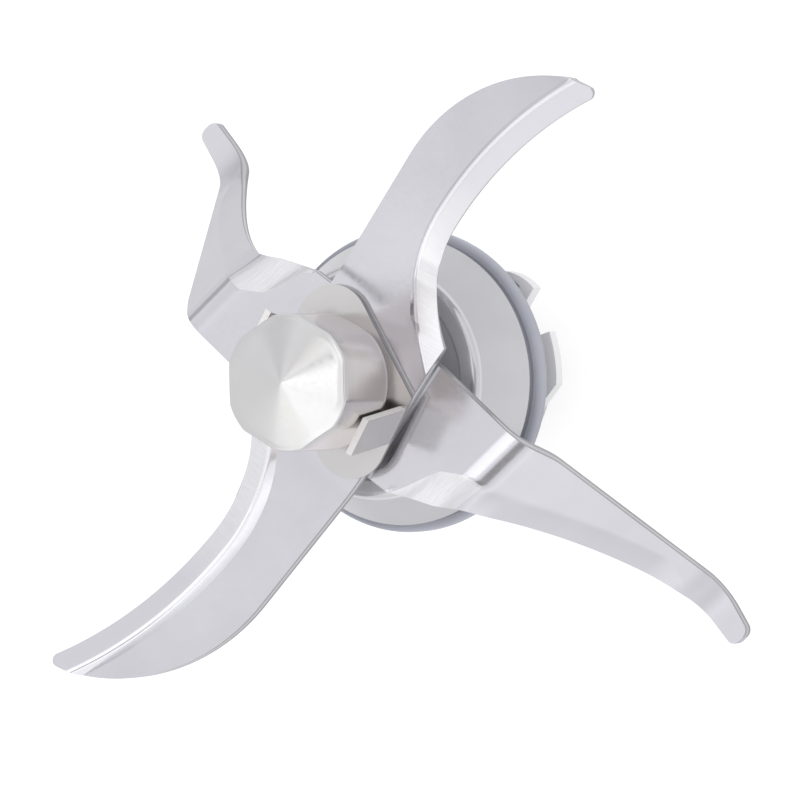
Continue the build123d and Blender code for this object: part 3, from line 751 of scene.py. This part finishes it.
def card(name, toward, distance, size, tone):
    """A card that only shows in reflections: light or dark, facing the part."""
    made = glowing_sheet(name, card_half, (0, 0, 0), 1.0, tone, 1.0)
    made.location = Vector(toward).normalized() * distance
    made.rotation_euler = Vector(toward).to_track_quat("Z", "Y").to_euler()
    made.scale = (*size, 1)
    made.visible_camera = False
    made.visible_diffuse = False
    made.visible_shadow = False


floor = glowing_sheet("floor", floor_half, (0.42, 0.42, 0.42), 0.7, (1, 1, 1), 0.7)
floor.location = (0, 0, cad_low.z)
floor.visible_glossy = False

softbox("overhead_left", (-0.364, -0.222, 1.6), -17.8, (0.31, 1.4), 0.65)
softbox("overhead_front", (-0.0905, -0.678, 1.6), -17.8, (0.49, 0.7), 0.65)
card("front_dark", (0.097, -0.787, 0.609), 2.5, (0.9, 0.9), (0.40, 0.39, 0.39))
card("back_dark", (-0.874, 0.484, 0.03), 2.5, (2.0, 0.8), (0.62, 0.62, 0.64))
card("camera_dark", (0.43, -0.04, 0.90), 1.4, (0.45, 0.65), (0.64, 0.61, 0.60))
card("left_dark", (-0.54, -0.095, 0.837), 1.4, (0.13, 0.13), (0.08, 0.07, 0.06))
card("far_dim", (-0.517, 0.35, 0.78), 1.5, (0.32, 0.32), (0.93, 0.93, 0.96))
card("edge_light", (-0.424, -0.36, 0.83), 1.4, (0.36, 0.36), (1.45, 1.45, 1.46))
card("streak", (-0.153, 0.155, 0.974), 1.3, (0.07, 0.07), (0.20, 0.19, 0.18))
card("second", (-0.225, 0.235, 0.945), 1.4, (0.12, 0.12), (1.40, 1.38, 1.36))

# The room's tone from straight down to straight up
room_tones = (
    (-1.0, 0.84), (-0.3, 0.92), (-0.08, 1.12), (0.08, 1.27), (0.35, 1.03), (0.65, 1.02),
    (0.76, 1.16), (0.88, 1.15), (0.93, 0.98), (0.975, 1.0), (0.99, 1.28), (1.0, 1.28),
)
world = bpy.data.worlds.new("room")
scene.world = world
world.use_nodes = True
room = world.node_tree
upward = axis_of(room, add_node(room, "ShaderNodeTexCoord").outputs["Generated"], "Z")
room_light = tone_bands(room, upward, room_tones, (1, 0.998, 1.03))
room.links.new(room_light, room.nodes["Background"].inputs["Color"])

scene.view_settings.view_transform = "Standard"
scene.view_settings.look = "None"


# Camera at the photograph's angle: steeply from above, turned so that the shaft points left

tilt, roll = math.radians(28.12), math.radians(1.52)
camera_right, camera_up, camera_distance = -1.927, -2.968, 1102
right = Vector((math.cos(tilt), 0, -math.sin(tilt)))
up = Vector((0, 1, 0))
toward = Vector((math.sin(tilt), 0, math.cos(tilt)))
image_x = right * math.cos(roll) - up * math.sin(roll)
image_y = right * math.sin(roll) + up * math.cos(roll)
lens = bpy.data.cameras.new("camera")
lens.sensor_width = 36
lens.lens = 334.8
lens.clip_start, lens.clip_end = 0.1, 20
camera = bpy.data.objects.new("camera", lens)
turned = Matrix((image_x, image_y, toward)).transposed().to_4x4()
turned.translation = (image_x * camera_right + image_y * camera_up + toward * camera_distance) * mm
camera.matrix_world = turned
scene.collection.objects.link(camera)
scene.camera = camera
